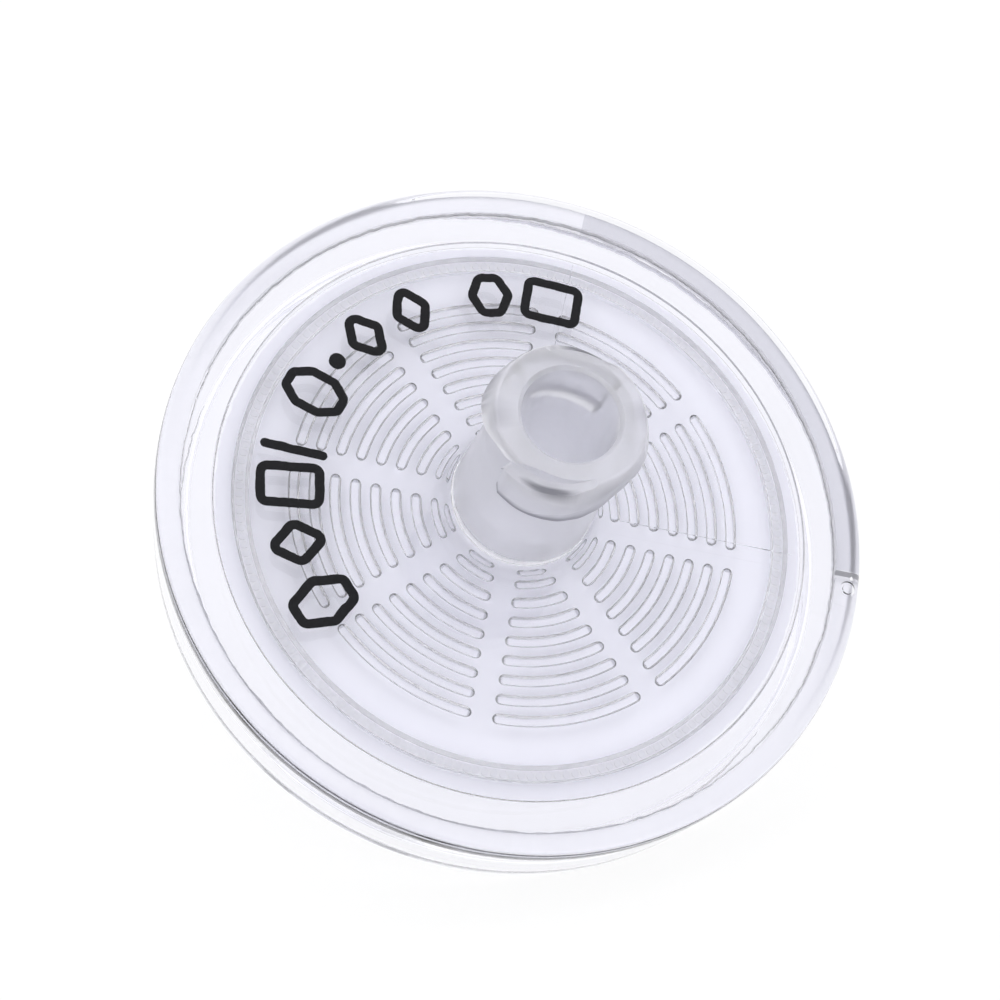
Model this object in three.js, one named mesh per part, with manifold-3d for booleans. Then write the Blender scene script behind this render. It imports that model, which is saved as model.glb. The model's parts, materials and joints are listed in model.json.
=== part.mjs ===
// Disc syringe filter: two clear moulded halves welded round the rim, a flat filter membrane pinched
// between them, a Luer-lock inlet hub above and a Luer-slip outlet nozzle below.
//
// Lengths are in millimetres and angles in degrees. Each piece is built in the filter's own frame:
// its Z axis is the axis of flow, from the outlet up to the inlet, and Z = 0 is the disc's top face.
// Heights are measured from there. At the end the whole filter is leant over to the pose in which it
// lies on a table, touching it with one point of its lower rim and with the tip of its nozzle.
import * as THREE from "three";
import { mergeVertices } from "three/addons/utils/BufferGeometryUtils.js";
import Module from "manifold-3d";

const wasm = await Module();
wasm.setup();

// ---------------------------------------------------------------- driving dimensions
const FIT = 0.02; // clearance left between two moulded faces that meet
const OVERLAP = 0.1; // how deep a rib, lug or ridge is rooted in the wall that carries it
const RIM_FACETS = 72; // sides of each circle as wide as the disc
const HUB_FACETS = 36; // sides of each circle as wide as the hub

// Disc, upper half
const rimDiameter = 33;
const flangeWidth = 1.15; // flange outside the plug
const flangeThickness = 1.0;
const edgeChamfer = 0.35; // round of the flange's upper edge
const plateThickness = 1.3; // upper plate over the membrane
const plugWidth = 1.45; // wall of the plug, which drops into the lower half
const plugDepth = 0.5; // how far the plug reaches below the flange

// Membrane
const membraneClearance = 0.15; // round its edge, in its pocket
const membraneThickness = 0.12;
const membraneDrop = 0.55; // from the underside of the upper plate to the membrane

// Ridge of the upper half that pinches the membrane
const pinchMargin = 0.74; // from the membrane's edge in to the ridge
const pinchWidth = 0.76; // of the ridge's root
const pinchTipWidth = 0.5;

// Flow ribs under the upper plate: rings of arcs, cut by straight radial channels
const sectors = 8;
const firstChannelAngle = 17.3;
const channelWidth = 0.95; // clear width between the tips of the ribs on its two sides
const ribMargin = 2.02; // from the ridge's root in to the outermost arc's centre line
const ribPitch = 0.932;
const ribWidth = 0.45;
const ribDrop = 0.45; // height of a rib
const ribStep = 1.7; // longest straight side of a rib's curved outline

// Support ribs on the floor of the lower half
const supportMargin = 1.1; // from the ridge's root in to the outermost arc's centre line
const supportPitch = 1.6;
const supportWidth = 0.7;
const drainDepth = 0.4; // depth of the drain field between the support ribs

// Lower half
const wallGap = 0.08; // gap between the plug and the wall round it
const wallOverhang = 0.2; // how far the flange stands out over the wall
const wallDraft = 0.16; // how much narrower the wall is at its foot
const rimHeight = 4.75; // whole height of the rim
const footChamfer = 0.15;
const seatClearance = 0.05; // how far the membrane's pocket stands out past the plug's inner side
const recessDepth = 1.35; // hollow of the underside within the rim's skirt
const skirtWidth = 1.2;

// Luer-lock inlet hub
const hubHeight = 9.15;
const hubFootRadius = 3.31;
const hubTopRadius = 3.27; // outer edge of the hub's end face
const barrelRadius = 3.05; // barrel under the thread
const hubFillet = 0.8;
const inletMouthRadius = 2.15;
const inletMouthChamfer = 0.18;
const luerTaper = 0.03; // change of radius for each millimetre along a Luer cone

// Thread of the inlet: two starts, each cut away over a short flat
const threadRadius = 3.87;
const threadLead = 5;
const threadStart = 200.75;
const threadFloor = 6.45; // height of the thread's lower flank where it starts
const threadCrestWidth = 1.5;
const threadFlankRise = 0.3;
const threadSweep = 176;
const flatStart = 87.75;
const flatSweep = 29;
const topConeHeight = 0.7; // height of the cone that trims the thread at the hub's end

// Outlet nozzle
const bossRadius = 3.6;
const bossFillet = 0.9;
const bossLength = 2.8;
const nozzleReach = 10.25; // how far the nozzle stands out below the rim
const nozzleTipRadius = 2.0;
const nozzleTipChamfer = 0.08;
const outletBoreRadius = 1.15;

// Key slot and gate land in the lower half's wall
const slotAngle = 334.15;
const slotWidth = 0.4;
const slotDepth = 0.6;

// Printed marks on the disc
const inkThickness = 0.05;
const inkStroke = 0.42;
const inkOffset = 0.27; // from the outermost flow rib out to the middle of the row of marks
const inkStartAngle = 200.8; // the row runs clockwise from here
const inkHeight = 3.1;
const inkSmallHeight = 2.3;
const inkWidth = 2.2;
const inkLargeWidth = 2.5;
const inkWideWidth = 2.9;
const inkDot = 0.8;
const inkGap = 0.45; // between two marks of a group
const inkSpace = 1.8; // between two groups

// ---------------------------------------------------------------- derived radii, from the rim inwards
const rimRadius = rimDiameter / 2;
const plugRadius = rimRadius - flangeWidth;
const plugInnerRadius = plugRadius - plugWidth;
const seatRadius = plugInnerRadius + seatClearance;
const membraneRadius = seatRadius - membraneClearance;
const pinchRootOuter = membraneRadius - pinchMargin;
const pinchRootInner = pinchRootOuter - pinchWidth;
const ribOuterRadius = pinchRootInner - ribMargin;
const supportOuterRadius = pinchRootInner - supportMargin;
const inkRadius = ribOuterRadius + inkOffset;

// ---------------------------------------------------------------- derived heights, from the top down
const plateBottom = -plateThickness;
const plugBottom = -(flangeThickness + plugDepth);
const membraneTop = plateBottom - membraneDrop;
const pinchTip = membraneTop + FIT;
const membraneBottom = membraneTop - membraneThickness;
const seatLevel = membraneBottom - FIT;
const drainFloor = seatLevel - drainDepth;
const wallInner = plugRadius + wallGap;
const wallOuter = rimRadius - wallOverhang;
const wallTop = -flangeThickness - FIT;
const ledgeLevel = plugBottom - FIT;
const rimFoot = -rimHeight;
const footRadius = wallOuter - wallDraft;
const recessLevel = rimFoot + recessDepth;
const nozzleTip = rimFoot - nozzleReach;
const bossFoot = recessLevel - bossLength;

// ---------------------------------------------------------------- materials
const clearPlastic = (name) =>
  new THREE.MeshStandardMaterial({
    name,
    color: 0xe9e9f4,
    roughness: 0.08,
    metalness: 0,
    transparent: true,
    opacity: 0.4,
  });
const inletPlastic = clearPlastic("clear acrylic, inlet half");
const outletPlastic = clearPlastic("clear acrylic, outlet half");
const membraneWhite = new THREE.MeshStandardMaterial({
  name: "white filter membrane",
  color: 0xf2f2f5,
  roughness: 0.9,
  metalness: 0,
});
const inkBlack = new THREE.MeshStandardMaterial({
  name: "black pad-printing ink",
  color: 0x1b1b1d,
  roughness: 0.65,
  metalness: 0,
});

// ---------------------------------------------------------------- helpers
const rad = THREE.MathUtils.degToRad;

// A closed three.js geometry as a solid that can be joined and cut.
function solid(geometry) {
  const bare = geometry.index ? geometry.toNonIndexed() : geometry.clone();
  bare.deleteAttribute("normal");
  bare.deleteAttribute("uv");
  const merged = mergeVertices(bare, 1e-5);
  return new wasm.Manifold(
    new wasm.Mesh({
      numProp: 3,
      vertProperties: merged.attributes.position.array,
      triVerts: new Uint32Array(merged.index.array),
    }),
  );
}

// A solid as a named mesh of the scene.
function meshOf(name, body, material) {
  const { vertProperties, triVerts } = body.getMesh();
  const geometry = new THREE.BufferGeometry();
  geometry.setAttribute("position", new THREE.BufferAttribute(vertProperties, 3));
  geometry.setIndex(new THREE.BufferAttribute(triVerts, 1));
  geometry.computeVertexNormals();
  const mesh = new THREE.Mesh(geometry, material);
  mesh.name = name;
  return mesh;
}

// A profile of [radius, height] points turned round the axis of flow. The profile runs with the
// material on its left, and one flat side of the result faces -Y.
function turned(profile, facets) {
  const points = profile.map(([r, z]) => new THREE.Vector2(r, z));
  if (profile[0][0] > 0) points.push(points[0].clone());
  const lathe = new THREE.LatheGeometry(points, facets, Math.PI / facets, 2 * Math.PI);
  return solid(lathe.rotateX(Math.PI / 2));
}

// A flat outline raised into a plate between two heights.
function plate(shape, bottom, top) {
  const geometry = new THREE.ExtrudeGeometry(shape, { depth: top - bottom, bevelEnabled: false });
  return solid(geometry.translate(0, 0, bottom));
}

// Points on an arc about (centreX, centreY), from one angle to another.
function arcPoints(centreX, centreY, radius, from, to, steps) {
  return Array.from({ length: steps + 1 }, (_, i) => {
    const angle = rad(from + ((to - from) * i) / steps);
    return [centreX + radius * Math.cos(angle), centreY + radius * Math.sin(angle)];
  });
}

function shapeOf(points) {
  return new THREE.Shape(points.map(([x, y]) => new THREE.Vector2(x, y)));
}

const joinAll = (first, others) => others.reduce((joined, other) => joined.add(other), first);

// ---------------------------------------------------------------- ribs
// One arc-shaped rib, as a flat outline about the axis: along its outer side, round its pointed
// end, back along its inner side and round its other end.
function ribOutline(radius, width, startAngle, endAngle) {
  const sweep = endAngle - startAngle;
  const steps = Math.max(2, Math.round((rad(sweep) * radius) / ribStep));
  const tipAngle = THREE.MathUtils.radToDeg(width / 2 / radius);
  const tip = (angle) => [radius * Math.cos(rad(angle)), radius * Math.sin(rad(angle))];
  return shapeOf([
    ...arcPoints(0, 0, radius + width / 2, startAngle, endAngle, steps),
    tip(endAngle + tipAngle),
    ...arcPoints(0, 0, radius - width / 2, endAngle, startAngle, steps),
    tip(startAngle - tipAngle),
  ]);
}

// Rings of ribs, as many as there is room for, each broken by the radial channels between the sectors.
function ribField({ outerRadius, pitch, width, bottom, top }) {
  const ribs = [];
  const shortestArc = channelWidth / 2;
  const smallest = (sectors * (channelWidth + width + shortestArc)) / (2 * Math.PI);
  for (let radius = outerRadius; radius >= smallest; radius -= pitch) {
    const margin = THREE.MathUtils.radToDeg((channelWidth + width) / 2 / radius);
    for (let sector = 0; sector < sectors; sector++) {
      const start = firstChannelAngle + (sector * 360) / sectors;
      const outline = ribOutline(radius, width, start + margin, start + 360 / sectors - margin);
      ribs.push(plate(outline, bottom, top));
    }
  }
  return ribs;
}

// ---------------------------------------------------------------- Luer thread
// One start of the thread: its section is drawn flat, extruded along the sweep and then wrapped
// round the barrel, climbing with the lead.
function threadStartSolid(startAngle) {
  const root = barrelRadius - OVERLAP;
  const section = new THREE.Shape();
  section.moveTo(root, 0);
  section.lineTo(threadRadius, threadFlankRise);
  section.lineTo(threadRadius, threadFlankRise + threadCrestWidth);
  section.lineTo(root, 2 * threadFlankRise + threadCrestWidth);
  section.closePath();
  const steps = Math.round((threadSweep / 360) * HUB_FACETS);
  const geometry = new THREE.ExtrudeGeometry(section, { depth: threadSweep, bevelEnabled: false, steps });
  const position = geometry.attributes.position;
  for (let i = 0; i < position.count; i++) {
    const [radius, rise] = [position.getX(i), position.getY(i)];
    const sweep = threadSweep - position.getZ(i);
    const angle = rad(startAngle + sweep);
    const height = threadFloor + rise + (threadLead * sweep) / 360;
    position.setXYZ(i, radius * Math.cos(angle), radius * Math.sin(angle), height);
  }
  return solid(geometry);
}

// The space round the hub's end: all above its end face, and all outside the cone below it.
function hubEndTrim() {
  const reach = 2 * threadRadius;
  return turned(
    [
      [0, hubHeight],
      [hubTopRadius, hubHeight],
      [threadRadius, hubHeight - topConeHeight],
      [reach, hubHeight - topConeHeight],
      [reach, hubHeight + threadLead],
      [0, hubHeight + threadLead],
    ],
    HUB_FACETS,
  );
}

// A wedge of space round the barrel that leaves a gap between the two starts of the thread.
function threadGap(angle) {
  const wedge = shapeOf([
    ...arcPoints(0, 0, barrelRadius, angle + flatSweep, angle, 3),
    ...arcPoints(0, 0, 2 * threadRadius, angle, angle + flatSweep, 3),
  ]);
  return plate(wedge, threadFloor - threadCrestWidth, hubHeight + threadLead);
}

function luerThread() {
  const [first, second] = [0, 180].map((turn) => threadStartSolid(threadStart + turn));
  const trims = [hubEndTrim(), threadGap(flatStart), threadGap(flatStart + 180)];
  return trims.reduce((thread, trim) => thread.subtract(trim), first.add(second));
}

// ---------------------------------------------------------------- upper half
// Plate, flange, plug and pinching ridge, without the hub's bore.
function inletDisc() {
  return turned(
    [
      [0, plateBottom],
      [pinchRootInner, plateBottom],
      [(pinchRootInner + pinchRootOuter - pinchTipWidth) / 2, pinchTip],
      [(pinchRootInner + pinchRootOuter + pinchTipWidth) / 2, pinchTip],
      [pinchRootOuter, plateBottom],
      [plugInnerRadius, plateBottom],
      [plugInnerRadius, plugBottom],
      [plugRadius, plugBottom],
      [plugRadius, -flangeThickness],
      [rimRadius, -flangeThickness],
      [rimRadius, -edgeChamfer],
      [rimRadius - edgeChamfer, 0],
      [0, 0],
    ],
    RIM_FACETS,
  );
}

// Barrel with the fillet at its foot and the ring at its end, without its bore.
function inletHub() {
  const filletRadius = hubFootRadius + hubFillet;
  return turned(
    [
      [0, -OVERLAP],
      [filletRadius, -OVERLAP],
      ...arcPoints(filletRadius, hubFillet, hubFillet, 270, 180, 3),
      [barrelRadius, threadFloor],
      [barrelRadius, hubHeight - topConeHeight],
      [hubTopRadius, hubHeight - topConeHeight],
      [hubTopRadius, hubHeight],
      [0, hubHeight],
    ],
    HUB_FACETS,
  );
}

// The tapered bore of the hub, right through the plate, with its chamfered mouth.
function inletBore() {
  const radiusAt = (height) => inletMouthRadius - luerTaper * (hubHeight - height);
  const [foot, chamferFoot] = [plateBottom - ribDrop, hubHeight - inletMouthChamfer];
  return turned(
    [
      [0, foot],
      [radiusAt(foot), foot],
      [radiusAt(chamferFoot), chamferFoot],
      [inletMouthRadius + inletMouthChamfer + OVERLAP, hubHeight + OVERLAP],
      [0, hubHeight + OVERLAP],
    ],
    HUB_FACETS,
  );
}

function inletHousing() {
  const ribs = ribField({
    outerRadius: ribOuterRadius,
    pitch: ribPitch,
    width: ribWidth,
    bottom: plateBottom - ribDrop,
    top: plateBottom + OVERLAP,
  });
  return joinAll(inletDisc(), [inletHub(), luerThread(), ...ribs]).subtract(inletBore());
}

// ---------------------------------------------------------------- lower half
// Floor, seat of the membrane, wall and skirt, without the nozzle and its bore.
function outletCup() {
  return turned(
    [
      [0, recessLevel],
      [footRadius - skirtWidth, recessLevel],
      [footRadius - skirtWidth, rimFoot],
      [footRadius - footChamfer, rimFoot],
      [footRadius, rimFoot + footChamfer],
      [wallOuter, wallTop],
      [wallInner, wallTop],
      [wallInner, ledgeLevel],
      [seatRadius, ledgeLevel],
      [seatRadius, seatLevel],
      [pinchRootInner, seatLevel],
      [pinchRootInner, drainFloor],
      [0, drainFloor],
    ],
    RIM_FACETS,
  );
}

// Luer-slip nozzle with the boss at its root, without its bore.
function outletNozzle() {
  const rootRadius = nozzleTipRadius + luerTaper * (bossFoot - nozzleTip);
  return turned(
    [
      [0, nozzleTip],
      [nozzleTipRadius - nozzleTipChamfer, nozzleTip],
      [nozzleTipRadius, nozzleTip + nozzleTipChamfer],
      [rootRadius, bossFoot],
      [bossRadius, bossFoot],
      ...arcPoints(bossRadius + bossFillet, recessLevel - bossFillet, bossFillet, 180, 90, 3),
      [bossRadius + bossFillet, recessLevel + OVERLAP],
      [0, recessLevel + OVERLAP],
    ],
    HUB_FACETS,
  );
}

function outletBore() {
  const [foot, top] = [nozzleTip - OVERLAP, drainFloor + OVERLAP];
  const outline = [[0, foot], [outletBoreRadius, foot], [outletBoreRadius, top], [0, top]];
  return turned(outline, HUB_FACETS);
}

// A slot cut down through the wall's top, from the wall's inner side outwards.
function keySlot() {
  const length = wallOuter - wallInner + 2 * FIT;
  const box = new THREE.BoxGeometry(length, slotWidth, 2 * slotDepth);
  box.translate((wallOuter + wallInner) / 2, 0, wallTop).rotateZ(rad(slotAngle));
  return solid(box);
}

function outletHousing() {
  const ribs = ribField({
    outerRadius: supportOuterRadius,
    pitch: supportPitch,
    width: supportWidth,
    bottom: drainFloor - OVERLAP,
    top: seatLevel,
  });
  return joinAll(outletCup(), [outletNozzle(), ...ribs]).subtract(outletBore()).subtract(keySlot());
}

// ---------------------------------------------------------------- membrane
function membrane() {
  return turned(
    [
      [0, membraneBottom],
      [membraneRadius, membraneBottom],
      [membraneRadius, membraneTop],
      [0, membraneTop],
    ],
    RIM_FACETS,
  );
}

// ---------------------------------------------------------------- printed marks
// A regular outline stretched to a width and a height about the middle of the mark. It stands on a
// corner if it is pointed, and otherwise on a side.
function polygon(corners, pointed, width, height) {
  const first = pointed ? -90 : -90 + 180 / corners;
  const points = arcPoints(0, 0, 1, first, first + 360 - 360 / corners, corners - 1);
  const reach = (axis) => Math.max(...points.map((point) => Math.abs(point[axis])));
  return points.map(([x, y]) => [(x / reach(0)) * (width / 2), (y / reach(1)) * (height / 2)]);
}

// One mark as a flat outline: filled, or open with an even stroke round it.
function markOutline({ corners, pointed = false, width, height, filled = false }) {
  const shape = shapeOf(polygon(corners, pointed, width, height));
  if (!filled) {
    const slant = pointed && corners === 4 ? Math.SQRT2 : 1;
    const inset = 2 * inkStroke * slant;
    const hole = polygon(corners, pointed, width - inset, height - inset).reverse();
    shape.holes.push(new THREE.Path(hole.map(([x, y]) => new THREE.Vector2(x, y))));
  }
  return shape;
}

// The marks in three groups, in their order along the row.
const markGroups = [
  [
    { corners: 6, width: inkLargeWidth, height: inkHeight },
    { corners: 4, pointed: true, width: inkLargeWidth, height: inkHeight },
    { corners: 4, width: inkWidth, height: inkHeight },
    { corners: 4, width: inkStroke, height: inkHeight, filled: true },
  ],
  [
    { corners: 8, width: inkWidth, height: inkHeight },
    { corners: 8, width: inkDot, height: inkDot, filled: true },
    { corners: 4, pointed: true, width: inkWidth, height: inkHeight },
    { corners: 4, pointed: true, width: inkWidth, height: inkHeight },
  ],
  [
    { corners: 6, width: inkWidth, height: inkSmallHeight },
    { corners: 4, width: inkWideWidth, height: inkSmallHeight },
  ],
];

// One mark on the disc, at an angle about its middle and with its foot towards the hub.
function inkMark(number, mark, angle) {
  const name = `ink_mark_${String(number).padStart(2, "0")}`;
  const mesh = meshOf(name, plate(markOutline(mark), 0, inkThickness), inkBlack);
  mesh.rotation.z = rad(angle - 90);
  mesh.position.set(inkRadius * Math.cos(rad(angle)), inkRadius * Math.sin(rad(angle)), FIT);
  return mesh;
}

function inkMarks() {
  const meshes = [];
  let reach = 0; // length of the row so far, along its middle line
  for (const group of markGroups) {
    for (const mark of group) {
      const turn = THREE.MathUtils.radToDeg((reach + mark.width / 2) / inkRadius);
      meshes.push(inkMark(meshes.length + 1, mark, inkStartAngle - turn));
      reach += mark.width + inkGap;
    }
    reach += inkSpace - inkGap;
  }
  return meshes;
}

// ---------------------------------------------------------------- the filter, as it lies at rest
const filter = new THREE.Group();
filter.add(meshOf("inlet_housing", inletHousing(), inletPlastic));
filter.add(meshOf("membrane", membrane(), membraneWhite));
filter.add(meshOf("outlet_housing", outletHousing(), outletPlastic));
filter.add(...inkMarks());

// The table touches the middle of one side of the rim's foot and of the nozzle's tip.
const footReach = (footRadius - footChamfer) * Math.cos(Math.PI / RIM_FACETS);
const tipReach = (nozzleTipRadius - nozzleTipChamfer) * Math.cos(Math.PI / HUB_FACETS);
filter.rotation.x = Math.atan2(rimFoot - nozzleTip, footReach - tipReach);

// The part's origin is on the table, under the middle of the leaning filter.
const box = new THREE.Box3().setFromObject(filter, true);
const middle = box.getCenter(new THREE.Vector3());
filter.position.set(-middle.x, -middle.y, -box.min.z);

const part = new THREE.Group();
part.add(filter);
export default part;
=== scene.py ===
"""Disc syringe filter at rest: two clear moulded halves, a white membrane and a row of printed marks.

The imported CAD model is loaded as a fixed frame, and this script builds the looks around it. Each piece is
made in the filter's own frame: millimetres, Z along the flow axis, Z = 0 at the disc's top face, and
angles counted anticlockwise seen from the inlet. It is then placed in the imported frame, in metres.
"""

import json
import logging
import math
from dataclasses import dataclass, field
from enum import Enum
from functools import partial
from typing import Any, Callable, Iterable, Sequence

import bmesh
import bpy
from mathutils import Matrix, Vector, noise


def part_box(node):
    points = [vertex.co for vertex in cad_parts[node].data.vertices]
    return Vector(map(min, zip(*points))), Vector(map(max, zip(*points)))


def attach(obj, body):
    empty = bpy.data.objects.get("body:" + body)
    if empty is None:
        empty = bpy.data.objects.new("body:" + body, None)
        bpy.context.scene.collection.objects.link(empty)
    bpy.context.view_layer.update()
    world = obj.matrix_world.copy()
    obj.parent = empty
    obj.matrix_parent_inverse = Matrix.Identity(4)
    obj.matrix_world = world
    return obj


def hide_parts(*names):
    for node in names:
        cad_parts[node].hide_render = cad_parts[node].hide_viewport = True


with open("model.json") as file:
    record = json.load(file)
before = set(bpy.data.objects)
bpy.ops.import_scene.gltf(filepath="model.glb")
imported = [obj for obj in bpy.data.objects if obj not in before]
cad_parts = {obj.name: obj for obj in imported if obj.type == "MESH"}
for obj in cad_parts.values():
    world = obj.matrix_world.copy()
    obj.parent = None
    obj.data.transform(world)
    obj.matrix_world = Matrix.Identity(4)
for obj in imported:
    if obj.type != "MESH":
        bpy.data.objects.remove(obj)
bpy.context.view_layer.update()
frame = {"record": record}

LOG = logging.getLogger("syringe_filter")
MM = 0.001
DISC_SIDES = 720  # sides of a circle on the disc, fine enough for its ragged weld and cut edges
HUB_SIDES = 144  # the same on the smooth hub and nozzle
THREAD_SIDES = 180  # the same along the thread
ARC_STEP = 12.0  # degrees of a rounded corner for each of its facets
SMALL_ARC_STEP = 30.0  # the same for a corner rounded by no more than the next value
SMALL_ROUNDING = 0.1
RAG_PER_MM = 1.6  # how many swings a ragged edge makes in a millimetre
WALL_SLOPE = 0.9  # a face whose normal rises less than this is a wall
PAINTED_SHADE_ATTRIBUTE = "painted thread shade"  # how strongly painted shade darkens each point of the hub's colour, from 0 to 1
MATHS, VECTOR_MATHS, COMBINE = "ShaderNodeMath", "ShaderNodeVectorMath", "ShaderNodeCombineXYZ"


# ---------------------------------------------------------------- the filter's own frame
@dataclass(frozen=True)
class FilterFrame:
    """Where the filter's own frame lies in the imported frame.

    Attributes:
        origin: The middle of the disc's top face, in metres.
        lean: How far the flow axis leans from upright towards -Y, in radians.
    """

    origin: Vector
    lean: float

    @classmethod
    def from_record(cls, record: dict[str, Any], hub_height: float) -> "FilterFrame":
        """Reads the frame off the inlet's mount, which lies on the hub's end face.

        Args:
            record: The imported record.
            hub_height: Height of the hub's end face over the disc, in millimetres.

        Returns:
            The filter's own frame.
        """
        inlet = next(mount for mount in record["mounts"] if mount["name"] == "inlet_face")
        axis = Vector(inlet["axis"]).normalized()
        end = Vector((0.0, inlet["pos_m"][1], inlet["pos_m"][2]))
        return cls(end - axis * hub_height * MM, math.atan2(-axis.y, axis.z))

    @property
    def matrix(self) -> Matrix:
        """Takes a point in the filter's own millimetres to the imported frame."""
        return Matrix.Translation(self.origin) @ Matrix.Rotation(self.lean, 4, "X") @ Matrix.Scale(MM, 4)

    def own(self, point: Vector) -> Vector:
        """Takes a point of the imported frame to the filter's own millimetres."""
        return self.matrix.inverted() @ point

    def direction(self, off_axis: float, azimuth: float) -> Vector:
        """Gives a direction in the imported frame.

        Args:
            off_axis: Degrees away from the flow axis.
            azimuth: Degrees round the flow axis.

        Returns:
            The unit direction.
        """
        tilt, turn = math.radians(off_axis), math.radians(azimuth)
        own = Vector((math.sin(tilt) * math.cos(turn), math.sin(tilt) * math.sin(turn), math.cos(tilt)))
        return Matrix.Rotation(self.lean, 3, "X") @ own


@dataclass(frozen=True)
class FilterSizes:
    """The sizes that the pieces share, in millimetres, with heights from the disc's top face."""

    rim_radius: float
    flange_width: float = 1.15
    flange_thickness: float = 1.0
    plate_thickness: float = 1.3
    plug_width: float = 1.45
    plug_depth: float = 0.5
    weld_gap: float = 0.02
    wall_gap: float = 0.08
    rim_height: float = 4.75
    membrane_drop: float = 0.55
    membrane_thickness: float = 0.12
    membrane_clearance: float = 0.1
    pinch_margin: float = 0.74
    pinch_width: float = 0.76
    hub_height: float = 9.15
    nozzle_reach: float = 10.25
    sectors: int = 8
    first_channel: float = 17.3
    channel_width: float = 0.95
    luer_taper: float = 0.03
    unwelded: tuple[float, float] = (-25.0, 59.0)  # degrees between which the weld has left a gap, drawn dark in the grey finish whose grey is painted shade

    @property
    def plug_radius(self) -> float:
        """Outer radius of the welding plug."""
        return self.rim_radius - self.flange_width

    @property
    def plug_inner(self) -> float:
        """Inner radius of the welding plug."""
        return self.plug_radius - self.plug_width

    @property
    def membrane_radius(self) -> float:
        """Radius of the membrane, just inside the plug."""
        return self.plug_inner - self.membrane_clearance

    @property
    def pinch_outer(self) -> float:
        """Outer radius of the pinching ridge's root."""
        return self.membrane_radius - self.pinch_margin

    @property
    def pinch_inner(self) -> float:
        """Inner radius of the pinching ridge's root."""
        return self.pinch_outer - self.pinch_width

    @property
    def plate_bottom(self) -> float:
        """Height of the upper plate's underside."""
        return -self.plate_thickness

    @property
    def plug_bottom(self) -> float:
        """Height of the plug's foot."""
        return -(self.flange_thickness + self.plug_depth)

    @property
    def membrane_top(self) -> float:
        """Height of the membrane's upper face."""
        return self.plate_bottom - self.membrane_drop

    @property
    def seat_level(self) -> float:
        """Height of the lower half's floor under the membrane's edge."""
        return self.membrane_top - self.membrane_thickness - self.weld_gap

    @property
    def rim_foot(self) -> float:
        """Height of the rim's foot."""
        return -self.rim_height

    @property
    def nozzle_tip(self) -> float:
        """Height of the nozzle's tip."""
        return self.rim_foot - self.nozzle_reach


class Region(Enum):
    """The regions of a clear half that are finished differently, in the order of its material slots."""

    POLISHED = 0
    RIB_WALL = 1
    HUB = 2
    WELD = 3


# ---------------------------------------------------------------- meshes
@dataclass(frozen=True)
class Corner:
    """A corner of a turned profile: radius, height, how far it is rounded, and how ragged it runs."""

    r: float
    z: float
    rounding: float = 0.0
    ragged: float = 0.0


def rounded(corners: Sequence[Corner], arc_steps: int = 0) -> list[Corner]:
    """Rounds the corners of a closed profile.

    Args:
        corners: The profile's corners in order.
        arc_steps: Facets of each rounded corner, or 0 to take them from its angle.

    Returns:
        The profile's plain points, with an arc of facets at each rounded corner.
    """
    points: list[Corner] = []
    for i, corner in enumerate(corners):
        here = Vector((corner.r, corner.z))
        before = Vector((corners[i - 1].r, corners[i - 1].z)) - here
        after = Vector((corners[(i + 1) % len(corners)].r, corners[(i + 1) % len(corners)].z)) - here
        if corner.rounding == 0.0:
            points.append(corner)
            continue
        half = before.angle(after) / 2
        centre = here + (before.normalized() + after.normalized()).normalized() * corner.rounding / math.sin(half)
        start = here + before.normalized() * corner.rounding / math.tan(half) - centre
        turn = before.angle_signed(after)
        sweep = math.copysign(math.pi, turn) - turn
        arc_step = SMALL_ARC_STEP if corner.rounding <= SMALL_ROUNDING else ARC_STEP
        steps = arc_steps or max(2, round(abs(math.degrees(sweep)) / arc_step))
        for step in range(steps + 1):
            spoke = start.copy()
            spoke.rotate(Matrix.Rotation(sweep * step / steps, 2))
            points.append(Corner(*(centre + spoke), ragged=corner.ragged))
    return points


def new_object(name: str, mesh: bpy.types.Mesh) -> bpy.types.Object:
    """Puts a mesh into the scene as an object at the origin."""
    piece = bpy.data.objects.new(name, mesh)
    bpy.context.scene.collection.objects.link(piece)
    return piece


def face_outwards(mesh: bpy.types.Mesh) -> None:
    """Turns the faces of closed solids to point outwards."""
    work = bmesh.new()
    work.from_mesh(mesh)
    bmesh.ops.remove_doubles(work, verts=work.verts, dist=1e-5)
    bmesh.ops.recalc_face_normals(work, faces=work.faces)
    work.to_mesh(mesh)
    work.free()


def solid_from(name: str, vertices: list, faces: list) -> bpy.types.Object:
    """Makes a closed solid from its vertices and faces."""
    mesh = bpy.data.meshes.new(name)
    mesh.from_pydata(vertices, [], faces)
    face_outwards(mesh)
    return new_object(name, mesh)


def lathe(name: str, corners: Sequence[Corner], sides: int) -> bpy.types.Object:
    """Turns a closed profile round the flow axis.

    Args:
        name: The solid's name.
        corners: The profile, which may run along the axis between two corners of radius 0.
        sides: How many sides a full circle has.

    Returns:
        The closed solid.
    """
    rings: list[list[int]] = []
    vertices: list[tuple[float, float, float]] = []
    for point in rounded(corners):
        start = len(vertices)
        count = sides if point.r > 0 else 1
        for i in range(count):
            turn = 2 * math.pi * i / sides
            spoke = Vector((math.cos(turn), math.sin(turn), 0.0))
            rag = noise.fractal(spoke * point.r * RAG_PER_MM, 1.0, 2.0, 3) if point.ragged else 0.0
            vertices.append((*(spoke * (point.r + point.ragged * rag)).xy, point.z))
        rings.append([start + i % count for i in range(sides)])
    faces: list[tuple[int, ...]] = []
    for low, high in zip(rings, rings[1:] + rings[:1]):
        for i in range(sides):
            j = (i + 1) % sides
            corner_ids = dict.fromkeys((low[i], low[j], high[j], high[i]))
            if len(corner_ids) > 2:
                faces.append(tuple(corner_ids))
    return solid_from(name, vertices, faces)


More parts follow.
